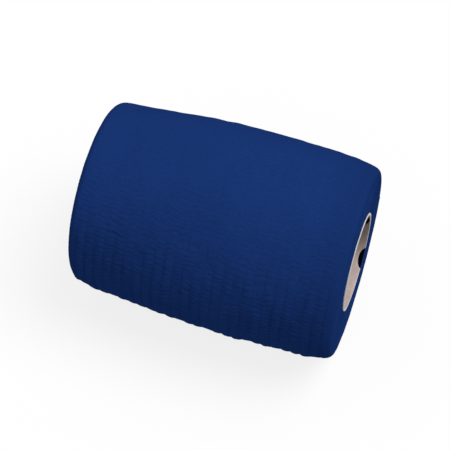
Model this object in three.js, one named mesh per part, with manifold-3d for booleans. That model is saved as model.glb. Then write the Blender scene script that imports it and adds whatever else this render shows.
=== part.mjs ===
// A roll of cohesive bandage lying on its side: one long crinkled strip wound on a
// thin perforated core. Millimetres, +Z up. The roll's axis lies along X, the open end
// at +X. The origin is at the middle of the footprint, on the surface the roll lies on.

import * as THREE from 'three';
import { mergeVertices } from 'three/addons/utils/BufferGeometryUtils.js';
import Module from 'manifold-3d';

// ---- driving dimensions -------------------------------------------------------------
const BANDAGE_WIDTH = 102;        // the strip's width, along the roll
const LAYER = 0.95;               // one turn of the relaxed strip
const TAIL_ANGLE = 350;           // where the outer turn ends, degrees about +X from +Y
const TAIL_RAMP = 1.6;            // degrees over which the cut tail drops to the turn below
const BACK_ANGLE = 30.7;          // direction of the profile's back column
const FLAT_SAG = 1.0;             // how far the roll's own weight presses it flat
const END_ROUND_PLUS = { axial: 5.6, radial: 0.7 };    // rounded edge at +X
const END_ROUND_MINUS = { axial: 2.9, radial: 3.4 };   // rounded edge at -X
const ROUND_STEPS = 4;
const SECTION_STEP = 5;           // degrees between sections

const CORE_OUTER_R = 18.8;
const CORE_WALL = 1.0;
const CORE_PROUD = 0.05;          // the core is almost level with the bandage at each end
const CORE_GAP = 0.3;             // clearance between the core and the first turn
const CORE_SEGMENTS = 48;

const HOLE_HALF_AROUND = 4.5;     // oval holes, long axis around the tube
const HOLE_HALF_ALONG = 2.7;
const HOLE_SEGMENTS = 12;
const HOLE_COLUMNS = 6;           // holes per turn of the helix they follow
const HOLE_SHIFT = 4.05;          // advance along X from one column to the next
const HOLE_FIRST_ANGLE = -53;     // the column cut by the open end
const HOLE_FIRST_PAST_END = 0.97; // that hole's centre lies just past the cut end

// The wound strip's outline: radius at stations along the axis, on the upper back side
// and on the lower front side. It swells in the middle, and is a little uneven.
const PROFILE = [
  { x: -51, back: 35.3, front: 32.6 },
  { x: -44, back: 35.9, front: 34.5 },
  { x: -36, back: 36.5, front: 35.4 },
  { x: -26, back: 37.3, front: 36.4 },
  { x: -14, back: 38.2, front: 37.5 },
  { x: 0, back: 38.6, front: 38.4 },
  { x: 14, back: 38.4, front: 38.8 },
  { x: 26, back: 38.1, front: 38.6 },
  { x: 36, back: 37.5, front: 38.4 },
  { x: 44, back: 36.6, front: 38.0 },
  { x: 51, back: 35.2, front: 36.9 },
];

// ---- shape functions ----------------------------------------------------------------
const HALF = BANDAGE_WIDTH / 2;
const BORE_R = CORE_OUTER_R + CORE_GAP;
const deg = THREE.MathUtils.degToRad;

function columnCurve(column) {
  return new THREE.SplineCurve(PROFILE.map((row) => new THREE.Vector2(row.x, row[column])));
}
const backCurve = columnCurve('back');
const frontCurve = columnCurve('front');

// Radius of a profile column at x, from the smooth curve through its rows.
function radiusAt(curve, x) {
  let low = 0;
  let high = 1;
  for (let i = 0; i < 40; i += 1) {
    const mid = (low + high) / 2;
    if (curve.getPoint(mid).x < x) low = mid; else high = mid;
  }
  return curve.getPoint((low + high) / 2).y;
}

// How much the end's rounding takes off the radius at x.
function rounding(x) {
  const round = x < 0 ? END_ROUND_MINUS : END_ROUND_PLUS;
  const into = (Math.abs(x) - (HALF - round.axial)) / round.axial;
  return into <= 0 ? 0 : round.radial * (1 - Math.sqrt(Math.max(0, 1 - into * into)));
}

// The strip spirals outward: its radius grows by one layer in a turn, from the tail on.
function turnFraction(angle) {
  const past = (((angle - TAIL_ANGLE) % 360) + 360) % 360;
  return past < TAIL_RAMP ? 1 - past / TAIL_RAMP : (past - TAIL_RAMP) / (360 - TAIL_RAMP);
}

function outerRadius(x, angle) {
  const back = (1 + Math.cos(deg(angle - BACK_ANGLE))) / 2;
  const spiral = turnFraction(angle)
    - back * turnFraction(BACK_ANGLE) - (1 - back) * turnFraction(BACK_ANGLE + 180);
  return back * radiusAt(backCurve, x) + (1 - back) * radiusAt(frontCurve, x)
    - rounding(x) + LAYER * spiral;
}

// Stations along the outside, closer together round the two ends.
function outerStations() {
  const stations = [];
  for (let i = 0; i <= ROUND_STEPS; i += 1) {
    stations.push(-HALF + END_ROUND_MINUS.axial * (1 - Math.cos((i / ROUND_STEPS) * Math.PI / 2)));
  }
  for (let x = -40; x <= 40; x += 8) stations.push(x);
  for (let i = ROUND_STEPS; i >= 0; i -= 1) {
    stations.push(HALF - END_ROUND_PLUS.axial * (1 - Math.cos((i / ROUND_STEPS) * Math.PI / 2)));
  }
  return stations;
}

function sectionAngles() {
  const angles = [];
  for (let a = 0; a < 360; a += SECTION_STEP) angles.push(a);
  angles.push(TAIL_ANGLE + TAIL_RAMP);
  return angles.sort((a, b) => a - b);
}

// The highest the axis can lie so that the underside is pressed flat by FLAT_SAG.
const stations = outerStations();
const lowest = Math.max(...stations.map((x) => outerRadius(x, 270)));
const AXIS_HEIGHT = lowest - FLAT_SAG;

// One closed ring of faces: the outside, the two ends and the bore.
function woundStrip() {
  const angles = sectionAngles();
  const positions = [];
  const rows = [];
  const loop = [
    ...stations.map((x) => ({ x, outer: true })),
    { x: HALF, share: 0.5 },
    { x: HALF, share: 0 },
    { x: -HALF, share: 0 },
    { x: -HALF, share: 0.5 },
  ];
  for (const angle of angles) {
    const row = [];
    for (const point of loop) {
      const outer = outerRadius(point.x, angle);
      const r = point.outer ? outer : BORE_R + (outer - BORE_R) * point.share;
      const y = r * Math.cos(deg(angle));
      const z = AXIS_HEIGHT + r * Math.sin(deg(angle));
      row.push(positions.length / 3);
      positions.push(point.x, y, Math.max(z, 0));
    }
    rows.push(row);
  }
  const index = [];
  rows.forEach((row, i) => {
    const next = rows[(i + 1) % rows.length];
    row.forEach((a, j) => {
      const k = (j + 1) % row.length;
      index.push(a, next[k], row[k], a, next[j], next[k]);
    });
  });
  const geometry = new THREE.BufferGeometry();
  geometry.setAttribute('position', new THREE.Float32BufferAttribute(positions, 3));
  geometry.setIndex(index);
  return geometry;
}

// ---- solids ----------------------------------------------------------------------------
const wasm = await Module();
wasm.setup();

function toSolid(geometry) {
  const bare = geometry.clone();
  bare.deleteAttribute('normal');
  bare.deleteAttribute('uv');
  const merged = mergeVertices(bare, 1e-4);
  return new wasm.Manifold(new wasm.Mesh({
    numProp: 3,
    vertProperties: new Float32Array(merged.attributes.position.array),
    triVerts: new Uint32Array(merged.index.array),
  }));
}

function toGeometry(solid) {
  const mesh = solid.getMesh();
  const geometry = new THREE.BufferGeometry();
  const points = [];
  for (let i = 0; i < mesh.vertProperties.length; i += mesh.numProp) {
    points.push(mesh.vertProperties[i], mesh.vertProperties[i + 1], mesh.vertProperties[i + 2]);
  }
  geometry.setAttribute('position', new THREE.Float32BufferAttribute(points, 3));
  geometry.setIndex(Array.from(mesh.triVerts));
  return geometry;
}

// The plain tube, turned about its own axis and laid along X.
function plainTube() {
  const half = HALF + CORE_PROUD;
  const inner = CORE_OUTER_R - CORE_WALL;
  const outline = [
    new THREE.Vector2(inner, -half),
    new THREE.Vector2(CORE_OUTER_R, -half),
    new THREE.Vector2(CORE_OUTER_R, half),
    new THREE.Vector2(inner, half),
    new THREE.Vector2(inner, -half),
  ];
  const tube = new THREE.LatheGeometry(outline, CORE_SEGMENTS);
  tube.rotateZ(-Math.PI / 2);
  return tube;
}

// One oval cutter, its long axis around the tube, reaching out through the wall.
function holeCutter(x, angle) {
  const oval = new THREE.Shape();
  oval.absellipse(0, 0, HOLE_HALF_AROUND, HOLE_HALF_ALONG, 0, Math.PI * 2, false, 0);
  const cutter = new THREE.ExtrudeGeometry(oval, {
    depth: 6, bevelEnabled: false, curveSegments: HOLE_SEGMENTS / 2,
  });
  const radial = new THREE.Vector3(0, Math.cos(deg(angle)), Math.sin(deg(angle)));
  const along = new THREE.Vector3(1, 0, 0);
  const around = new THREE.Vector3().crossVectors(along, radial);
  const frame = new THREE.Matrix4().makeBasis(around, along, radial);
  frame.setPosition(radial.clone().multiplyScalar(CORE_OUTER_R - 3).setX(x));
  cutter.applyMatrix4(frame);
  return cutter;
}

// The holes follow one helix, from just past the open end to the far end.
function perforatedTube() {
  let tube = toSolid(plainTube());
  const end = HALF + CORE_PROUD;
  for (let i = 0; ; i += 1) {
    const x = end + HOLE_FIRST_PAST_END - i * HOLE_SHIFT;
    if (x < -end - HOLE_HALF_ALONG * 0.8) break;
    const angle = HOLE_FIRST_ANGLE + i * (360 / HOLE_COLUMNS);
    tube = tube.subtract(toSolid(holeCutter(x, angle)));
  }
  return tube;
}

// ---- the object ------------------------------------------------------------------------
const bandage = new THREE.Mesh(
  woundStrip(),
  new THREE.MeshStandardMaterial({ color: 0x18306e, roughness: 0.95, metalness: 0 }),
);
bandage.name = 'bandage';

const core = new THREE.Mesh(
  toGeometry(perforatedTube()),
  new THREE.MeshStandardMaterial({ color: 0xb8a89c, roughness: 0.55, metalness: 0 }),
);
core.name = 'core';
core.position.z = AXIS_HEIGHT;

// The outline is uneven, so the whole is moved to stand midway over the origin.
const group = new THREE.Group();
group.add(bandage, core);
bandage.geometry.computeBoundingBox();
const box = bandage.geometry.boundingBox;
group.position.y = -(box.min.y + box.max.y) / 2;
group.updateMatrixWorld(true);

export default group;
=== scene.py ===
"""A roll of cohesive bandage lying on its side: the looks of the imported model.

Lengths in the shape functions are millimetres, as in the model, and become metres when a
mesh is made. The roll's axis lies along X. Angles are degrees about +X, from +Y towards +Z.
"""
import math

import bmesh
import bpy
import numpy as np
from mathutils import Matrix, Vector


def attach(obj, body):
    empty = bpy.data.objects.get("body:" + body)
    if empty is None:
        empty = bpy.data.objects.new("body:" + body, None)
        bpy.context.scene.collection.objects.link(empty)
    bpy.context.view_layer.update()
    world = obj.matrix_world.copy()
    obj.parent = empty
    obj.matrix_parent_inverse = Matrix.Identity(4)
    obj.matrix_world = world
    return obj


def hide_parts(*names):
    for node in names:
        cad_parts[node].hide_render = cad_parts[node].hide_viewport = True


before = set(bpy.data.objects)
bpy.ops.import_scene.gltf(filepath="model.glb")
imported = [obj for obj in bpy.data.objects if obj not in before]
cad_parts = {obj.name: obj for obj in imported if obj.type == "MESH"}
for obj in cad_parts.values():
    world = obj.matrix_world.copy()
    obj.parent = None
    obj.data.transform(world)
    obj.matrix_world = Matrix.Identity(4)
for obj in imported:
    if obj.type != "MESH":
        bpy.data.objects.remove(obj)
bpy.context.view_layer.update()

# ---- the model's own sizes ----------------------------------------------------------------
HALF = 51.0                 # half the strip's width
TAIL_ANGLE = 350.0          # where the outer turn ends
BACK_ANGLE = 30.7
CORE_OUTER_R = 18.8
CORE_WALL = 1.0
CORE_END = 51.05
BORE_R = 18.84              # the first turn lies tight on the core
LINING_PROUD = -0.34        # the thin lining round the core ends inside the core's end, coloured with painted shade and a painted highlight on its edge
TURNS = 17                  # turns between the bore and the tail
AXIS_HEIGHT = 37.96836
AXIS_Y = -0.02154
PROFILE = np.array([        # x, radius on the upper back side, radius on the lower front side
    (-51, 35.3, 32.6), (-44, 35.9, 34.5), (-36, 36.5, 35.4), (-26, 37.3, 36.4),
    (-14, 38.2, 37.5), (0, 38.6, 38.4), (14, 38.4, 38.8), (26, 38.1, 38.6),
    (36, 37.5, 38.4), (44, 36.6, 38.0), (51, 35.2, 36.9)], dtype=float)
ROUND_PLUS = ((5.6, 0.7), (1.9, 1.3))      # axial, radial: the edge's roundings at +X
ROUND_MINUS = ((2.9, 3.4),)                # and at -X

# ---- the cloth's own sizes -----------------------------------------------------------------
COLUMNS = 27                # lengthwise elastic threads divide the width into this many
COLUMN = 2 * HALF / COLUMNS
RIPPLE = 1.98               # pitch of the cross ripples, round the roll
RIPPLE_HEIGHT = 0.095
SLANT = -0.02               # the ripples lean a little from the axis
ROUND_MM = 2 * math.pi * 37.0 / 360.0      # millimetres round the roll for a degree


# ---- helpers for numbers ----------------------------------------------------------------
def smooth(x, low, high):
    w = np.clip((np.asarray(x, dtype=float) - low) / (high - low), 0, 1)
    return w * w * (3 - 2 * w)


def noise(a, b, seed):
    """Smooth value noise from -1 to 1 on a unit lattice."""
    table = np.random.default_rng(seed).uniform(-1, 1, (256, 256))
    a, b = np.broadcast_arrays(np.asarray(a, dtype=float), np.asarray(b, dtype=float))
    ia, ib = np.floor(a).astype(int), np.floor(b).astype(int)
    fa, fb = a - ia, b - ib
    fa, fb = fa * fa * (3 - 2 * fa), fb * fb * (3 - 2 * fb)
    t = lambda i, j: table[i % 256, j % 256]
    low = t(ia, ib) * (1 - fa) + t(ia + 1, ib) * fa
    high = t(ia, ib + 1) * (1 - fa) + t(ia + 1, ib + 1) * fa
    return low * (1 - fb) + high * fb


def spline(column):
    """Values along X of the smooth curve through a column of the profile table."""
    n = len(PROFILE)
    t = np.linspace(0, n - 1, 4001)
    i = np.minimum(t.astype(int), n - 2)
    w = t - i

    def curve(p):
        p0, p1 = p[np.maximum(i - 1, 0)], p[i]
        p2, p3 = p[i + 1], p[np.minimum(i + 2, n - 1)]
        v0, v1 = (p2 - p0) / 2, (p3 - p1) / 2
        return (2 * p1 - 2 * p2 + v0 + v1) * w ** 3 + (-3 * p1 + 3 * p2 - 2 * v0 - v1) * w ** 2 + v0 * w + p1

    return curve(PROFILE[:, 0]), curve(PROFILE[:, column])


BACK = spline(1)
FRONT = spline(2)


def turn_fraction(angle):
    return ((angle - TAIL_ANGLE) % 360.0) / 360.0


def back_share(angle):
    return (1 + np.cos(np.radians(angle - BACK_ANGLE))) / 2


def mean_turn(angle):
    b = back_share(angle)
    return b * turn_fraction(BACK_ANGLE) + (1 - b) * turn_fraction(BACK_ANGLE + 180)


def base_radius(x, angle):
    x, angle = np.broadcast_arrays(np.asarray(x, dtype=float), np.asarray(angle, dtype=float))
    b = back_share(angle)
    r = b * np.interp(x, *BACK) + (1 - b) * np.interp(x, *FRONT)
    for side, rounds in ((1, ROUND_PLUS), (-1, ROUND_MINUS)):
        for axial, radial in rounds:
            into = np.clip((x * side - (HALF - axial)) / axial, 0, 1)
            r = r - radial * (1 - np.sqrt(1 - into * into))
    return r


def turn_radius(x, angle, turn):
    """Radius of the strip's outer side, after that many turns from the bore."""
    layer = (base_radius(x, angle) - BORE_R) / (TURNS + mean_turn(angle))
    return BORE_R + layer * turn


def slack(angle):
    """How deeply the cloth is crinkled: the lower front side is slack, the top is drawn smooth."""
    a = (angle - 20) % 360
    return (0.36 + 0.44 * smooth(a, 69, 131) + 0.34 * smooth(a, 122, 160)
            - 0.40 * smooth(a, 215, 290) - 0.38 * smooth(a, 300, 360))


def thread_pull(angle):
    """How far the elastic threads cut in: they hardly show on the top."""
    a = (angle - 20) % 360
    return (0.10 + 0.20 * smooth(a, 85, 120) + 0.80 * smooth(a, 108, 145) + 0.25 * smooth(a, 150, 185)
            - 0.85 * smooth(a, 215, 290) - 0.40 * smooth(a, 300, 360))


def ripple(s, u, deep, pull):
    """Relief of the crinkled cloth, in millimetres: short ripples between the threads."""
    place_in = (u + HALF) / COLUMN
    column = np.floor(place_in + 1e-6)
    v = np.clip(place_in - column, 0, 1)
    away = np.minimum(v, 1 - v) * COLUMN
    own = 1.05 * noise(column * 7.31 + 0.37, s / 6.0, 5)
    slope = 0.50 * noise(column * 5.17 + 0.21, s / 7.0, 9) * (2 * v - 1)
    bow = 0.30 * (0.5 + noise(column * 3.71 + 0.63, s / 9.0, 10)) * (1 - (2 * v - 1) ** 2)
    warp = 0.8 * noise(s / 9.0, u / 8.0, 3) + 0.50 * noise(s / 2.3, u / 1.9, 4)
    phase = (s + SLANT * u + warp + own + slope + bow) / RIPPLE
    second = phase * 1.56 + 0.9 * noise(column * 2.93 + 0.4, s / 5.0, 16)
    crest = 0.5 + 0.28 * np.cos(2 * np.pi * phase) + 0.22 * np.cos(2 * np.pi * second)
    strength = np.clip(0.95 + 0.5 * noise(s / 2.1, u / 1.7, 6) + 0.25 * noise(s / 17.0, u / 11.0, 7), 0.2, 1.8)
    pinch = 1 - 0.5 * pull * np.exp(-(away / 0.5) ** 2)
    fold = deep * (1.2 * RIPPLE_HEIGHT * strength * pinch * (crest - 0.45) + 0.055 * noise(s / 0.75, u / 2.0, 14))
    thread = np.clip(0.95 + 0.55 * noise(s / 5.0, column * 2.3 + 0.5, 8), 0.35, 1.4) * pull * np.exp(-(away / 0.36) ** 2)
    puff = pull ** 2 * (0.07 + 0.26 * noise(column * 4.9 + 0.11, s / 6.5, 15)) * np.sin(np.pi * v)
    # wave holds the ripples' phase, their depth and the thread, which the material uses for bump and for painted shade
    wave = np.stack(np.broadcast_arrays(phase, deep * strength * pinch, thread), axis=-1)
    # the second value is painted shade: high on the crests, low in the valleys and on the threads, and the material
    # darkens the cloth where it is low
    return fold + puff - 0.10 * thread, 0.5 + fold / 0.26 - 0.24 * thread, wave


def lumps(s, u, deep=0.5):
    """Broader unevenness of the wound strip, strongest where it is slack."""
    return ((0.09 + 0.12 * deep) * noise(s / 15.0, u / 4.6, 11) + (0.04 + 0.10 * deep) * noise(s / 5.5, u / 2.9, 12)
            + 0.12 * noise(s / 34.0, u / 17.0, 13))


def end_relief(turn, s, v, outermost=False):
    """How far a turn's cut edge stands out at the end of the roll, v across its thickness."""
    ridge = np.sin(np.pi * np.clip(v, 0, 1)) ** 0.55
    if outermost is not False:
        ridge = np.where(outermost & (v > 0.5), 1.0, ridge)
    crest = -0.02 + 0.05 * noise(turn * 5.3, 0.5, 21) + 0.04 * noise(s / 4.1, turn, 22)
    crest = crest + 0.02 * np.cos(2 * np.pi * (s + 0.8 * noise(s / 5.0, turn, 23)) / RIPPLE)
    groove = -0.13 + 0.03 * noise(s / 3.0, turn, 24)
    return groove + (crest - groove) * ridge


def lean(angle):
    """The turns' ends lie a little deeper on the front upper side: 0 at the back, 1 there."""
    return 0.5 + 0.5 * np.cos(np.radians(angle - 142.0))


def dish(turn, angle):
    """The ends are very slightly hollow towards the core."""
    return -0.22 * lean(angle) * np.clip(1 - turn / (TURNS - 2.0), 0, 1)


def place(x, r, angle):
    """Points in metres, pressed flat where the roll stands on the floor."""
    y = AXIS_Y + r * np.cos(np.radians(angle))
    z = AXIS_HEIGHT + r * np.sin(np.radians(angle))
    z = np.where(z < 0.4, 0.4 * np.exp((np.minimum(z, 0.4) - 0.4) / 0.4), z)
    x, y, z = np.broadcast_arrays(x, y, z)
    return np.stack([x, y, z], axis=-1) * 0.001


# ---- helpers for meshes -----------------------------------------------------------------
class Shell:
    """Collects grids of points with their cloth coordinates, then welds them into one mesh."""

    def __init__(self):
        self.points, self.cloth, self.zone, self.wave, self.quads, self.count = [], [], [], [], [], 0

    def grid(self, points, cloth, zone, flip=False, wave=(0.0, 0.0, 0.0)):
        n, m = points.shape[:2]
        index = self.count + np.arange(n * m).reshape(n, m)
        quads = np.stack([index[:-1, :-1], index[1:, :-1], index[1:, 1:], index[:-1, 1:]], axis=-1).reshape(-1, 4)
        self.points.append(points.reshape(-1, 3))
        self.cloth.append(np.broadcast_to(cloth, points.shape).reshape(-1, 3))
        self.zone.append(np.broadcast_to(zone, (n, m)).reshape(-1))
        self.wave.append(np.broadcast_to(wave, points.shape).reshape(-1, 3))
        self.quads.append(quads[:, ::-1] if flip else quads)
        self.count += n * m

    def mesh(self, name, sharp=48.0):
        points = np.concatenate(self.points)
        cloth = np.concatenate(self.cloth)
        zone = np.concatenate(self.zone)
        wave = np.concatenate(self.wave)
        quads = np.concatenate(self.quads)
        key = np.round(points * 1e7).astype(np.int64)
        _, first, inverse = np.unique(key, axis=0, return_index=True, return_inverse=True)
        inverse = inverse.reshape(-1)
        faces = []
        for quad in inverse[quads].tolist():
            face = []
            for v in quad:
                if v not in face:
                    face.append(v)
            if len(face) > 2:
                faces.append(face)
        mesh = bpy.data.meshes.new(name)
        mesh.from_pydata(points[first].tolist(), [], faces)
        mesh.attributes.new("cloth", "FLOAT_VECTOR", "POINT").data.foreach_set(
            "vector", cloth[first].astype(np.float32).ravel())
        mesh.attributes.new("wave", "FLOAT_VECTOR", "POINT").data.foreach_set(
            "vector", wave[first].astype(np.float32).ravel())
        mesh.attributes.new("zone", "FLOAT", "POINT").data.foreach_set("value", zone[first].astype(np.float32))
        tidy(mesh, sharp)
        obj = bpy.data.objects.new(name, mesh)
        bpy.context.scene.collection.objects.link(obj)
        return obj


def tidy(mesh, sharp):
    """Faces out, smooth shading, with edges sharper than an angle left sharp."""
    bm = bmesh.new()
    bm.from_mesh(mesh)
    bmesh.ops.recalc_face_normals(bm, faces=bm.faces)
    bm.to_mesh(mesh)
    bm.free()
    mesh.polygons.foreach_set("use_smooth", np.ones(len(mesh.polygons), dtype=bool))
    mesh.set_sharp_from_angle(angle=math.radians(sharp))
    mesh.update()


# ---- the outer turns of the strip --------------------------------------------------------
def outer_stations():
    """Places along the roll: on each thread, beside it and between, and close round the ends."""
    steps = []
    for c in range(COLUMNS):
        for v in (0.0, 0.115, 0.36, 0.64, 0.885):
            steps.append(-HALF + (c + v) * COLUMN)
    inner = [x for x in steps if -HALF + 3.6 < x < HALF - 3.0]
    low = [-HALF + 3.5 * (1 - math.cos(a)) for a in np.linspace(0, math.pi / 2, 8)]
    high = [HALF - 2.9 * (1 - math.cos(a)) for a in np.linspace(0, math.pi / 2, 8)][::-1]
    return np.array(low + inner + high)


def outer_turns():
    """The last two turns as one strip, with its cut tail lying on the turn below."""
    M, S, THICK = 600, 3, 2
    p = np.linspace(0, 360, M + 1)
    u = outer_stations()
    t = p / 360.0
    P, U = np.meshgrid(p, u, indexing="ij")
    angle = TAIL_ANGLE + P
    s = P * ROUND_MM
    quiet = smooth(U, -HALF + 0.3, -HALF + 2.6) * (1 - smooth(U, HALF - 3.0, HALF - 1.4))
    crinkle, fold, wave = ripple(s, U, slack(angle), thread_pull(angle))
    relief = crinkle * quiet + lumps(s, U, slack(angle)) * (0.35 + 0.65 * quiet)
    # the tail's last millimetres lift a very little, and the cut edge is not quite straight
    from_cut = (360 - P) * ROUND_MM
    relief = relief + 0.07 * np.exp(-from_cut / 2.2) * (0.8 + 0.5 * noise(U / 6.0, 0.3, 31))
    cut = 0.9 * noise(u / 7.0, 0.7, 32) + 0.35 * noise(u / 2.1, 0.2, 33)
    near_cut = np.exp(-np.minimum(P, 360 - P) * ROUND_MM / 5.0)
    bend = cut[None, :] * near_cut / ROUND_MM
    relief = relief - 0.10 * np.exp(-(P * ROUND_MM / 0.9) ** 2)
    wander = 0.28 * noise(s / 23.0, U / 13.0, 34) * smooth(HALF - np.abs(U), 1.5, 8.0)
    turn = TURNS + P / 360.0
    edge = end_relief(turn, s, np.full_like(P, 1.0), outermost=np.ones_like(P, dtype=bool))
    x = U + wander + np.sign(U) * edge * smooth(np.abs(U), HALF - 6.0, HALF)
    r = turn_radius(U, angle, turn) + relief
    outer = place(x, r, angle + bend)
    # the third cloth value is painted shade: the material darkens the cloth where it is low
    cloth = np.stack([s, U + HALF, np.clip(0.5 + (fold - 0.5) * quiet, 0, 1)], axis=-1)
    shell = Shell()
    wave[..., 1:] = wave[..., 1:] * quiet[..., None]
    shell.grid(outer, cloth, 0.0, wave=wave)

    # the cut edges of these turns at both ends, and the hidden inner side
    inner_x = np.array([-HALF + 6, -30, -10, 10, 30, HALF - 6])
    ends = []
    for side in (-1, 1):
        k = 0 if side < 0 else -1
        pe, se = p[:, None], (p * ROUND_MM)[:, None]
        depth = np.arange(THICK * S + 1)[None, :] / S
        turn_e = TURNS + pe / 360.0 - depth
        v = 1 - (depth - np.floor(depth))
        v = np.where(depth == 0, 1.0, v)
        v = np.where((v == 1.0) & (depth > 0), 0.0, v)
        layer = TURNS + pe / 360.0 - np.floor(np.maximum(depth - 1e-9, 0))
        relief_e = end_relief(layer, layer * 360 * ROUND_MM * 0.8, v, outermost=(depth < 1))
        relief_e = np.where(v == 0.0, end_relief(0.0 * layer, turn_e * 290.0, 0.0 * v), relief_e)
        re = turn_radius(side * HALF, TAIL_ANGLE + pe, turn_e)
        pts = place(side * (HALF + relief_e), re, TAIL_ANGLE + pe)
        pts[:, 0] = outer[:, k]
        # the tail end's lower turn is the first turn's start again
        pts[-1, S:] = pts[0, :THICK * S + 1 - S]
        # the third cloth value is painted shade: lighter on the turns' crests, darker in the grooves between them
        cl = np.stack(np.broadcast_arrays(se, turn_e * 0.95, 0.15 + 0.7 * np.sin(np.pi * np.clip(v, 0, 1))), axis=-1)
        shell.grid(pts, cl, 1.0, flip=side > 0)
        ends.append(pts)
    Pi, Xi = np.meshgrid(p, inner_x, indexing="ij")
    inner = place(Xi, turn_radius(Xi, TAIL_ANGLE + Pi, TURNS - THICK + Pi / 360.0), TAIL_ANGLE + Pi)
    inner = np.concatenate([ends[0][:, -1:], inner, ends[1][:, -1:]], axis=1)
    shell.grid(inner, np.array([0.0, 0.0, 0.2]), 1.0, flip=True)

    # the strip's cut end, from the top of the tail down to the turn below
    fall = np.linspace(0, 1, S + 1)[:, None, None]
    bulge = 0.05 * np.sin(np.pi * fall)
    step = outer[-1][None] * (1 - fall) + outer[0][None] * fall
    step[:, :, 1] += (bulge * 0.001)[:, :, 0] * math.cos(math.radians(TAIL_ANGLE + 90))
    step[:, :, 2] += (bulge * 0.001)[:, :, 0] * math.sin(math.radians(TAIL_ANGLE + 90))
    step[:, 0], step[:, -1] = ends[0][-1, :S + 1], ends[1][-1, :S + 1]
    step[0], step[-1] = outer[-1], outer[0]
    shell.grid(step, cloth[0][None], 0.5)
    # the hidden start of the strip piece: from one turn up to where its other end's inner side lies
    start = inner[-1][None] * (1 - fall) + inner[0][None] * fall
    start[:, 0], start[:, -1] = ends[0][0, S:2 * S + 1], ends[1][0, S:2 * S + 1]
    shell.grid(start, np.array([0.0, 0.0, 0.2]), 1.0)
    return shell.mesh("bandage_wrap")


# ---- the turns below ----------------------------------------------------------------------
def inner_turns():
    """Every turn from the bore up to the outer two: their cut edges show at both ends."""
    M, S, LAYERS = 480, 4, TURNS - 2
    p = np.linspace(0, 360, M + 1)[:, None]
    t = p / 360.0
    gap = 0.03
    j = np.arange((LAYERS + 1) * S + 1)[None, :]
    whole = j / S - 1 + t
    turn = np.where(j < S, t * (j / S), whole)
    v = (j % S) / S
    layer = np.floor(np.maximum(j - 1e-9, 0) / S) + t
    rim = j == (LAYERS + 1) * S
    turn_r = np.where(rim, turn - gap, turn)
    lining = 0.35
    shell = Shell()
    edges = []
    for side in (-1, 1):
        s = layer * 290.0 * 0.8
        relief = end_relief(layer, s, v)
        relief = np.where(v == 0.0, end_relief(0.0 * turn, turn * 290.0, 0.0 * turn), relief)
        # a partial first turn has no room for a full ridge
        relief = np.where((j > 0) & (j < S), -0.52 + (relief + 0.52) * np.minimum(1, t * 1.6), relief)
        r = turn_radius(side * HALF, TAIL_ANGLE + p, turn_r) + lining * np.clip(1 - turn / 3, 0, 1)
        pts = place(side * (HALF + relief + dish(turn, TAIL_ANGLE + p)), r, TAIL_ANGLE + p)
        pts[0, :S + 1] = pts[0, :1]
        pts[-1, :-S] = pts[0, S:]
        # the third cloth value is painted shade: lighter on the turns' crests, darker in the grooves between them
        cl = np.stack(np.broadcast_arrays(s, turn * 0.95, 0.15 + 0.7 * np.sin(np.pi * v)), axis=-1)
        shell.grid(pts, cl, 1.0, flip=side > 0)
        end = HALF + LINING_PROUD * (0.3 + 0.7 * lean(TAIL_ANGLE + p))
        lip = [place(side * (end - back), np.full_like(p, BORE_R + up), TAIL_ANGLE + p)
               for back, up in ((0.0, 0.0), (0.0, lining - 0.07), (0.1, lining - 0.02))]
        lip = np.concatenate(lip + [pts[:, :1]], axis=1)
        lip[-1] = lip[0]
        # zones 2 and 3 carry the painted shade on the bore and the painted highlight on the lining's edge
        shell.grid(lip, np.array([0.0, 0.0, 0.4]), np.array([[2.0, 3.0, 3.0, 1.0]]), flip=side > 0)
        edges.append((lip[:, 0], pts[:, -1], pts[-1, -S - 1:]))
    inner_x = np.array([-HALF + 6, -30, -10, 10, 30, HALF - 6])
    Pi, Xi = np.meshgrid(p[:, 0], inner_x, indexing="ij")
    outer = place(Xi, turn_radius(Xi, TAIL_ANGLE + Pi, LAYERS + Pi / 360.0 - gap), TAIL_ANGLE + Pi)
    outer = np.concatenate([edges[0][1][:, None], outer, edges[1][1][:, None]], axis=1)
    shell.grid(outer, np.array([0.0, 0.0, 0.2]), 1.0)
    # the step of the turn below the tail
    fall = np.linspace(0, 1, S + 1)[:, None, None]
    step = outer[-1][None] * (1 - fall) + outer[0][None] * fall
    step[:, 0] = edges[0][2][::-1]
    step[:, -1] = edges[1][2][::-1]
    shell.grid(step, np.array([0.0, 0.0, 0.2]), 1.0)
    # the bore, zone 2: the material colours it almost black as painted shade
    bore_x = np.array([-HALF + 1.5, -25, 0, 25, HALF - 1.5])
    Pb, Xb = np.meshgrid(p[:, 0], bore_x, indexing="ij")
    bore = place(Xb, np.full_like(Xb, BORE_R), TAIL_ANGLE + Pb)
    bore[-1] = bore[0]
    bore = np.concatenate([edges[0][0][:, None], bore, edges[1][0][:, None]], axis=1)
    shell.grid(bore, np.stack([Pb * 0.33, Xb + HALF, 0 * Xb + 0.3], axis=-1)[:, [0, 0, 1, 2, 3, 4, 4]], 2.0, flip=True)
    return shell.mesh("bandage_turns")


# ---- the core -----------------------------------------------------------------------------
HOLE_AROUND, HOLE_ALONG = 4.5, 2.7
HOLE_SHIFT, HOLE_STEP, HOLE_FIRST = 4.05, 60.0, -53.0
HOLE_FIRST_X = CORE_END + 0.97
CORE_MID_R = CORE_OUTER_R - CORE_WALL / 2


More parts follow.
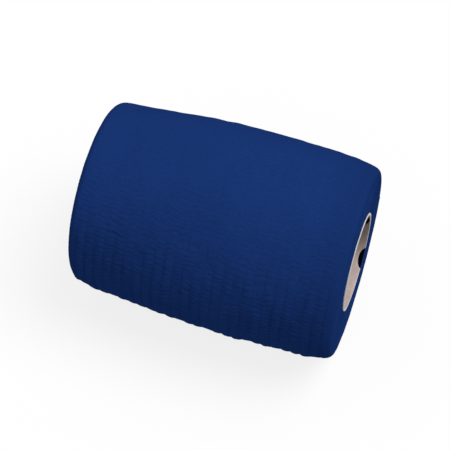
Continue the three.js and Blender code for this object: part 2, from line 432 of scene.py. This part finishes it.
def core_sheet():
    """The perforated wall unrolled: x along, a round in degrees, one cell for each hole."""
    around, along = 16, 20
    edge = []
    for k in range(around):
        edge.append((-0.5 + k / around, -0.5))
    for k in range(along):
        edge.append((0.5, -0.5 + k / along))
    for k in range(around):
        edge.append((0.5 - k / around, 0.5))
    for k in range(along):
        edge.append((-0.5, 0.5 - k / along))
    edge = np.array(edge)
    mm = math.radians(1) * CORE_MID_R
    border = np.stack([edge[:, 0] * HOLE_STEP * mm,
                       -edge[:, 0] * HOLE_SHIFT - edge[:, 1] * HOLE_SHIFT * 360 / HOLE_STEP], axis=-1)
    theta = np.arctan2(border[:, 1] / HOLE_ALONG, border[:, 0] / HOLE_AROUND)
    oval = np.stack([HOLE_AROUND * np.cos(theta), HOLE_ALONG * np.sin(theta)], axis=-1)
    points, faces = [], []
    n = len(edge)
    for i in range(-7, 36):
        cx = HOLE_FIRST_X - i * HOLE_SHIFT
        ca = (HOLE_FIRST + i * HOLE_STEP) * mm
        holed = i >= 0 and cx >= -CORE_END - HOLE_ALONG * 0.8
        rings = (0.0, 0.13, 0.36, 0.66, 1.0) if holed else (0.0, 0.36, 0.66, 1.0)
        base = len(points)
        for f in rings:
            ring = (oval if holed else oval * 0.5) * (1 - f) + border * f
            points.extend((cx + q[1], ca + q[0]) for q in ring)
        for k in range(len(rings) - 1):
            for m in range(n):
                m2 = (m + 1) % n
                faces.append((base + k * n + m, base + k * n + m2, base + (k + 1) * n + m2, base + (k + 1) * n + m))
        if not holed:
            points.append((cx, ca))
            c = len(points) - 1
            faces.extend((c, base + (m + 1) % n, base + m) for m in range(n))
    return np.array(points), faces, 360 * mm


def core_tube():
    pts, faces, girth = core_sheet()
    snap = np.abs(np.abs(pts[:, 0]) - CORE_END) < 0.26
    pts[snap, 0] = np.sign(pts[snap, 0]) * CORE_END
    bm = bmesh.new()
    # the sheet is first rolled up at its middle radius, so that its cells join all round
    ang = pts[:, 1] / CORE_MID_R
    verts = [bm.verts.new((x, CORE_MID_R * math.cos(a), CORE_MID_R * math.sin(a))) for x, a in zip(pts[:, 0], ang)]
    for f in faces:
        bm.faces.new([verts[k] for k in f])
    bmesh.ops.remove_doubles(bm, verts=bm.verts, dist=0.004)
    for side in (-1, 1):
        geom = bm.verts[:] + bm.edges[:] + bm.faces[:]
        bmesh.ops.bisect_plane(bm, geom=geom, dist=0.003, plane_co=(side * CORE_END, 0, 0),
                               plane_no=(side, 0, 0), clear_outer=True)
    bmesh.ops.recalc_face_normals(bm, faces=bm.faces)
    bmesh.ops.dissolve_degenerate(bm, edges=bm.edges, dist=0.003)
    bm.verts.ensure_lookup_table()
    bm.verts.index_update()
    co = np.array([v.co[:] for v in bm.verts])
    a = np.arctan2(co[:, 2], co[:, 1])
    # which way each border point faces, along the wall, away from the material
    away = np.zeros((len(co), 2))
    border = []
    for e in bm.edges:
        if len(e.link_faces) != 1:
            continue
        i, k = e.verts[0].index, e.verts[1].index
        loop = e.link_loops[0]
        i, k = loop.vert.index, loop.link_loop_next.vert.index
        border.append((i, k))
        da = (a[k] - a[i] + math.pi) % (2 * math.pi) - math.pi
        d = np.array([co[k, 0] - co[i, 0], da * CORE_MID_R])
        length = np.hypot(*d)
        centre = e.link_faces[0].calc_center_median()
        ca = (math.atan2(centre.z, centre.y) - a[i] + math.pi) % (2 * math.pi) - math.pi
        inward = np.array([centre.x - co[i, 0], ca * CORE_MID_R])
        nrm = np.array([-d[1], d[0]]) / max(length, 1e-9)
        if np.dot(nrm, inward) > 0:
            nrm = -nrm
        away[i] += nrm * length
        away[k] += nrm * length
    size = np.hypot(away[:, 0], away[:, 1])
    on_border = size > 0
    away[on_border] /= size[on_border][:, None]
    face_list = [[v.index for v in f.verts] for f in bm.faces]
    bm.free()

    soft = 0.13
    outer_r, inner_r = CORE_OUTER_R, CORE_OUTER_R - CORE_WALL
    # the third value of a row is its share of the painted light: the paler lit copy of the plastic
    rows = [(outer_r, soft, 1.0), (outer_r - 0.3 * soft, 0.3 * soft, 1.0), (outer_r - soft, 0.0, 1.0),
            (inner_r + soft, 0.0, 1.0), (inner_r + 0.3 * soft, 0.3 * soft, 0.7), (inner_r, soft, 0.0)]

    def at(r, back):
        x = co[:, 0] - away[:, 0] * back * on_border
        ang = a - away[:, 1] * back * on_border / CORE_MID_R
        return np.stack([x, r * np.cos(ang), r * np.sin(ang)], axis=-1)

    n = len(co)
    points = np.concatenate([at(r, back) for r, back, _ in rows])
    at_end = np.abs(np.abs(co[:, 0]) - CORE_END) < 0.01
    # painted light: the outer side and the end rims are marked for the paler lit copy of the plastic
    light = np.concatenate([np.where(at_end | (k == 0), w, 0.0) for k, (_, _, w) in enumerate(rows)])
    # the cut walls of the holes, marked for the painted shade in the material
    hole = np.concatenate([np.where(on_border & ~at_end & (0 < k) & (k < 5), 1.0, 0.0) for k in range(len(rows))])
    all_faces = [list(f) for f in face_list]
    all_faces += [[k + (len(rows) - 1) * n for k in reversed(f)] for f in face_list]
    for q in range(len(rows) - 1):
        all_faces += [[i + q * n, i + (q + 1) * n, k + (q + 1) * n, k + q * n] for i, k in border]
    used = np.zeros(len(points), dtype=bool)
    for f in all_faces:
        used[f] = True
    renumber = np.cumsum(used) - 1
    points = points[used]
    light = light[used]
    hole = hole[used]
    all_faces = [[int(renumber[k]) for k in f] for f in all_faces]
    points[:, 1] += AXIS_Y
    points[:, 2] += AXIS_HEIGHT
    mesh = bpy.data.meshes.new("core_tube")
    mesh.from_pydata((points * 0.001).tolist(), [], all_faces)
    mesh.attributes.new("lit_outside", "FLOAT", "POINT").data.foreach_set("value", light.astype(np.float32))
    mesh.attributes.new("hole", "FLOAT", "POINT").data.foreach_set("value", hole.astype(np.float32))
    tidy(mesh, 50.0)
    obj = bpy.data.objects.new("core_tube", mesh)
    bpy.context.scene.collection.objects.link(obj)
    return obj


# ---- materials ------------------------------------------------------------------------------
class Nodes:
    """A few short calls for making a node tree."""

    def __init__(self, name):
        self.material = bpy.data.materials.new(name)
        self.material.use_nodes = True
        self.tree = self.material.node_tree
        self.shader = self.tree.nodes["Principled BSDF"]

    def add(self, kind, **values):
        node = self.tree.nodes.new(kind)
        for key, value in values.items():
            setattr(node, key, value)
        return node

    def put(self, socket, value):
        if hasattr(value, "links"):
            self.tree.links.new(value, socket)
        else:
            socket.default_value = value

    def math(self, operation, a, b=0.0, c=0.0, clamp=False):
        node = self.add("ShaderNodeMath", operation=operation, use_clamp=clamp)
        for socket, value in zip(node.inputs, (a, b, c)):
            self.put(socket, value)
        return node.outputs[0]

    def attribute(self, name):
        return self.add("ShaderNodeAttribute", attribute_name=name)

    def split(self, vector):
        node = self.add("ShaderNodeSeparateXYZ")
        self.put(node.inputs[0], vector)
        return node.outputs

    def join(self, x, y, z):
        node = self.add("ShaderNodeCombineXYZ")
        for socket, value in zip(node.inputs, (x, y, z)):
            self.put(socket, value)
        return node.outputs[0]

    def noise(self, vector, scale, detail=2.0, rough=0.5, lacunarity=2.0, distortion=0.0):
        node = self.add("ShaderNodeTexNoise")
        self.put(node.inputs["Vector"], vector)
        for key, value in (("Scale", scale), ("Detail", detail), ("Roughness", rough),
                           ("Lacunarity", lacunarity), ("Distortion", distortion)):
            node.inputs[key].default_value = value
        return node.outputs["Fac"]

    def remap(self, value, low, high, to_low=0.0, to_high=1.0, kind="SMOOTHSTEP"):
        node = self.add("ShaderNodeMapRange", interpolation_type=kind)
        for socket, v in zip(node.inputs, (value, low, high, to_low, to_high)):
            self.put(socket, v)
        return node.outputs[0]

    def mix(self, factor, a, b, blend="MIX"):
        node = self.add("ShaderNodeMix", data_type="RGBA", blend_type=blend)
        self.put(node.inputs[0], factor)
        self.put(node.inputs[6], a)
        self.put(node.inputs[7], b)
        return node.outputs[2]

    def bump(self, height, distance, strength, normal=None):
        node = self.add("ShaderNodeBump")
        self.put(node.inputs["Height"], height)
        node.inputs["Distance"].default_value = distance
        node.inputs["Strength"].default_value = strength
        if normal is not None:
            self.put(node.inputs["Normal"], normal)
        return node.outputs[0]


def shade(rgb, k):
    return (rgb[0] * k, rgb[1] * k, rgb[2] * k, 1.0)


NAVY = (0.0047, 0.0171, 0.0785)


def cloth_material():
    m = Nodes("bandage_cloth")
    s, u, h = m.split(m.attribute("cloth").outputs["Vector"])
    zone = m.attribute("zone").outputs["Fac"]
    where = m.add("ShaderNodeTexCoord").outputs["Object"]

    # fine creases between the ripples, and the fibres of the web
    crease = m.noise(m.join(m.math("MULTIPLY", s, 1.15), m.math("MULTIPLY", u, 0.50), 0.0), 1.0, 2.0, 0.55)
    fibre = m.noise(m.join(m.math("MULTIPLY", s, 1.55), m.math("MULTIPLY", u, 1.35), 1.7), 1.0, 2.0, 0.70, distortion=0.8)
    cloud = m.noise(where, 38.0, 2.0, 0.5)
    broken = m.remap(m.noise(m.join(m.math("MULTIPLY", s, 0.16), m.math("MULTIPLY", u, 0.9), 3.0), 1.0, 2.0), 0.3, 0.65, 0.25, 1.0)

    # painted shade: the web is darkened down in its folds, where little light comes in
    phase, depth, pulled = m.split(m.attribute("wave").outputs["Vector"])
    bent = m.math("ADD", phase, m.math("MULTIPLY", m.math("SUBTRACT", crease, 0.5), 1.0))
    valley = m.math("MULTIPLY", m.math("PINGPONG", bent, 0.5), 2.0)
    sharp = m.math("MULTIPLY", m.remap(valley, 0.58, 0.98), m.math("MULTIPLY", depth, m.math("MINIMUM", depth, 1.1)))
    # painted shade: the height value h makes the cloth lighter on the crests and darker in the valleys, on the threads
    # and between the turns
    tone = m.math("ADD", m.math("MULTIPLY", h, 0.375), m.math("MULTIPLY", crease, 0.20))
    web = m.math("SUBTRACT", fibre, 0.5)
    web = m.math("MULTIPLY", web, m.remap(depth, 0.35, 1.15, 1.0, 0.50))
    tone = m.math("ADD", tone, m.math("MULTIPLY_ADD", web, 0.42, 0.25))
    tone = m.math("ADD", tone, m.math("MULTIPLY", cloud, 0.24))
    tone = m.math("ADD", tone, m.math("MULTIPLY", broken, 0.03))
    # painted shade: darker in the ripples' valleys and along the threads
    tone = m.math("SUBTRACT", tone, m.math("MULTIPLY", sharp, 0.16))
    tone = m.math("SUBTRACT", tone, m.math("MULTIPLY", pulled, 0.07))
    tone = m.remap(tone, 0.152, 1.152, 0.0, 1.0, "LINEAR")
    # the tone mixes a darker and a lighter navy: random variation of the web, together with the painted shade above
    colour = m.mix(tone, shade(NAVY, 0.62), shade(NAVY, 1.38))
    # painted light: the cut edges at the ends are made a little lighter, in place of light from the +X side
    colour = m.mix(m.remap(zone, 0.6, 1.0, 0.0, 0.14), colour, (0.0095, 0.0340, 0.1500, 1.0))
    # painted shade: the cloth is darkened towards the rounding of the +X end and on the turns' cut ends
    brim = m.math("MULTIPLY", m.remap(u, 84.0, 101.5, 0.0, 0.26), m.remap(zone, 0.4, 0.9, 1.0, 0.0))
    brim = m.math("ADD", brim, m.remap(zone, 0.4, 0.9, 0.0, 0.22))
    colour = m.mix(brim, colour, shade(NAVY, 0.45))
    # painted shade: the grooves between the turns' cut edges at the ends are darkened
    gap = m.math("MULTIPLY", m.remap(h, 0.12, 0.62, 0.55, 0.0), m.remap(zone, 0.7, 1.0))
    colour = m.mix(gap, colour, shade(NAVY, 0.40))
    # painted shade: the innermost turn, seen through the core's holes, is coloured almost black
    colour = m.mix(m.remap(zone, 1.2, 1.9), colour, (0.0004, 0.0006, 0.0016, 1.0))
    # painted highlight: the lining's edge round the core is coloured a lighter grey-teal, for light caught on it
    colour = m.mix(m.remap(zone, 2.3, 2.9), colour, (0.017, 0.026, 0.045, 1.0))
    m.put(m.shader.inputs["Base Color"], colour)
    m.put(m.shader.inputs["Roughness"], m.remap(fibre, 0.2, 0.8, 0.86, 1.0, "LINEAR"))
    m.shader.inputs["Specular IOR Level"].default_value = 0.0

    rise = m.math("ADD", m.math("MULTIPLY", crease, 0.40), m.math("MULTIPLY", web, 0.84))
    rise = m.math("SUBTRACT", rise, m.math("MULTIPLY", sharp, 0.38))
    m.put(m.shader.inputs["Normal"], m.bump(rise, 0.00024, 0.60))
    return m.material


def core_material():
    m = Nodes("core_plastic")
    where = m.add("ShaderNodeTexCoord").outputs["Object"]
    lit_outside = m.attribute("lit_outside").outputs["Fac"]
    cloud = m.noise(where, 60.0, 3.0, 0.55)
    speck = m.noise(where, 900.0, 2.0, 0.6)
    x, y, z = m.split(where)
    drawn = m.noise(m.join(m.math("MULTIPLY", x, 25.0), m.math("MULTIPLY", y, 420.0), m.math("MULTIPLY", z, 420.0)), 1.0, 2.0)
    beige = m.mix(cloud, (0.236, 0.186, 0.166, 1.0), (0.284, 0.230, 0.208, 1.0))
    # painted light: pale is a paler, bluish lit copy of the plastic for the outside and the end rims; beige is the
    # warmer shaded copy inside
    pale = m.mix(cloud, (0.285, 0.270, 0.290, 1.0), (0.335, 0.320, 0.342, 1.0))
    # painted shade: the plastic darkens towards the back (+Y) side of the tube
    beige = m.mix(m.remap(y, 0.0090, 0.0176, 0.0, 0.62), beige, (0.070, 0.048, 0.040, 1.0))
    colour = m.mix(lit_outside, beige, pale)
    colour = m.mix(m.remap(drawn, 0.35, 0.75, 0.0, 0.22), colour, (0.17, 0.135, 0.12, 1.0))
    # painted shade: the cut walls of the holes are coloured dark grey
    colour = m.mix(m.math("MULTIPLY", m.attribute("hole").outputs["Fac"], 0.75), colour, (0.045, 0.042, 0.045, 1.0))
    m.put(m.shader.inputs["Base Color"], colour)
    m.put(m.shader.inputs["Roughness"], m.remap(speck, 0.2, 0.8, 0.48, 0.66, "LINEAR"))
    m.shader.inputs["Specular IOR Level"].default_value = 0.30
    rise = m.math("ADD", m.math("MULTIPLY", speck, 0.5), m.math("MULTIPLY", drawn, 0.5))
    m.put(m.shader.inputs["Normal"], m.bump(rise, 0.00006, 0.35))
    return m.material


# ---- the object ------------------------------------------------------------------------------
cloth = cloth_material()
plastic = core_material()
for piece, node, material, slot in ((outer_turns(), "bandage", cloth, "bandage_cloth"),
                                    (inner_turns(), "bandage", cloth, "bandage_cloth"),
                                    (core_tube(), "core", plastic, "core_plastic")):
    piece.data.materials.append(material)
    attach(piece, "root")
    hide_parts(node)

# ---- stage, light and camera --------------------------------------------------------------------
floor_mesh = bpy.data.meshes.new("floor")
floor_mesh.from_pydata([(-3, -3, -0.00005), (3, -3, -0.00005), (3, 3, -0.00005), (-3, 3, -0.00005)], [], [(0, 1, 2, 3)])
floor = bpy.data.objects.new("floor", floor_mesh)
bpy.context.scene.collection.objects.link(floor)
paper = Nodes("floor_paper")
paper.shader.inputs["Base Color"].default_value = (0.085, 0.085, 0.085, 1.0)
paper.shader.inputs["Roughness"].default_value = 1.0
paper.shader.inputs["Specular IOR Level"].default_value = 0.0
paper.shader.inputs["Emission Color"].default_value = (1.0, 1.0, 1.0, 1.0)
paper.shader.inputs["Emission Strength"].default_value = 0.822
floor_mesh.materials.append(paper.material)

world = bpy.data.worlds.new("studio")
world.use_nodes = True
world.node_tree.nodes["Background"].inputs["Color"].default_value = (1.0, 1.0, 1.0, 1.0)
world.node_tree.nodes["Background"].inputs["Strength"].default_value = 0.80
bpy.context.scene.world = world

key = bpy.data.lights.new("key", "SUN")
key.energy = 4.55
key.angle = math.radians(38)
key_object = bpy.data.objects.new("key", key)
key_from = Vector((0.420, 0.158, 0.893)).normalized()
key_object.rotation_euler = key_from.to_track_quat("Z", "Y").to_euler()
bpy.context.scene.collection.objects.link(key_object)

bpy.context.scene.view_settings.view_transform = "Standard"
bpy.context.scene.view_settings.look = "None"

AZIMUTH, ELEVATION, DISTANCE = math.radians(17.505), math.radians(58.024), 700.0
LENS = 1870.39 * 1.004 / 450.0 * 36.0
right = Vector((math.cos(AZIMUTH), math.sin(AZIMUTH), 0.0))
up = Vector((-math.sin(AZIMUTH) * math.sin(ELEVATION), math.cos(AZIMUTH) * math.sin(ELEVATION), math.cos(ELEVATION)))
back = Vector((math.sin(AZIMUTH) * math.cos(ELEVATION), -math.cos(AZIMUTH) * math.cos(ELEVATION), math.sin(ELEVATION)))
place_at = Vector((0.0, AXIS_Y, AXIS_HEIGHT)) - right * 0.156 + up * 0.679 + back * DISTANCE
camera = bpy.data.cameras.new("camera")
camera.lens = LENS
camera.sensor_width = 36.0
camera.clip_start = 0.02
camera_object = bpy.data.objects.new("camera", camera)
camera_object.matrix_world = Matrix.Translation(place_at * 0.001) @ Matrix((right, up, back)).transposed().to_4x4()
bpy.context.scene.collection.objects.link(camera_object)
bpy.context.scene.camera = camera_object

bpy.context.view_layer.update()
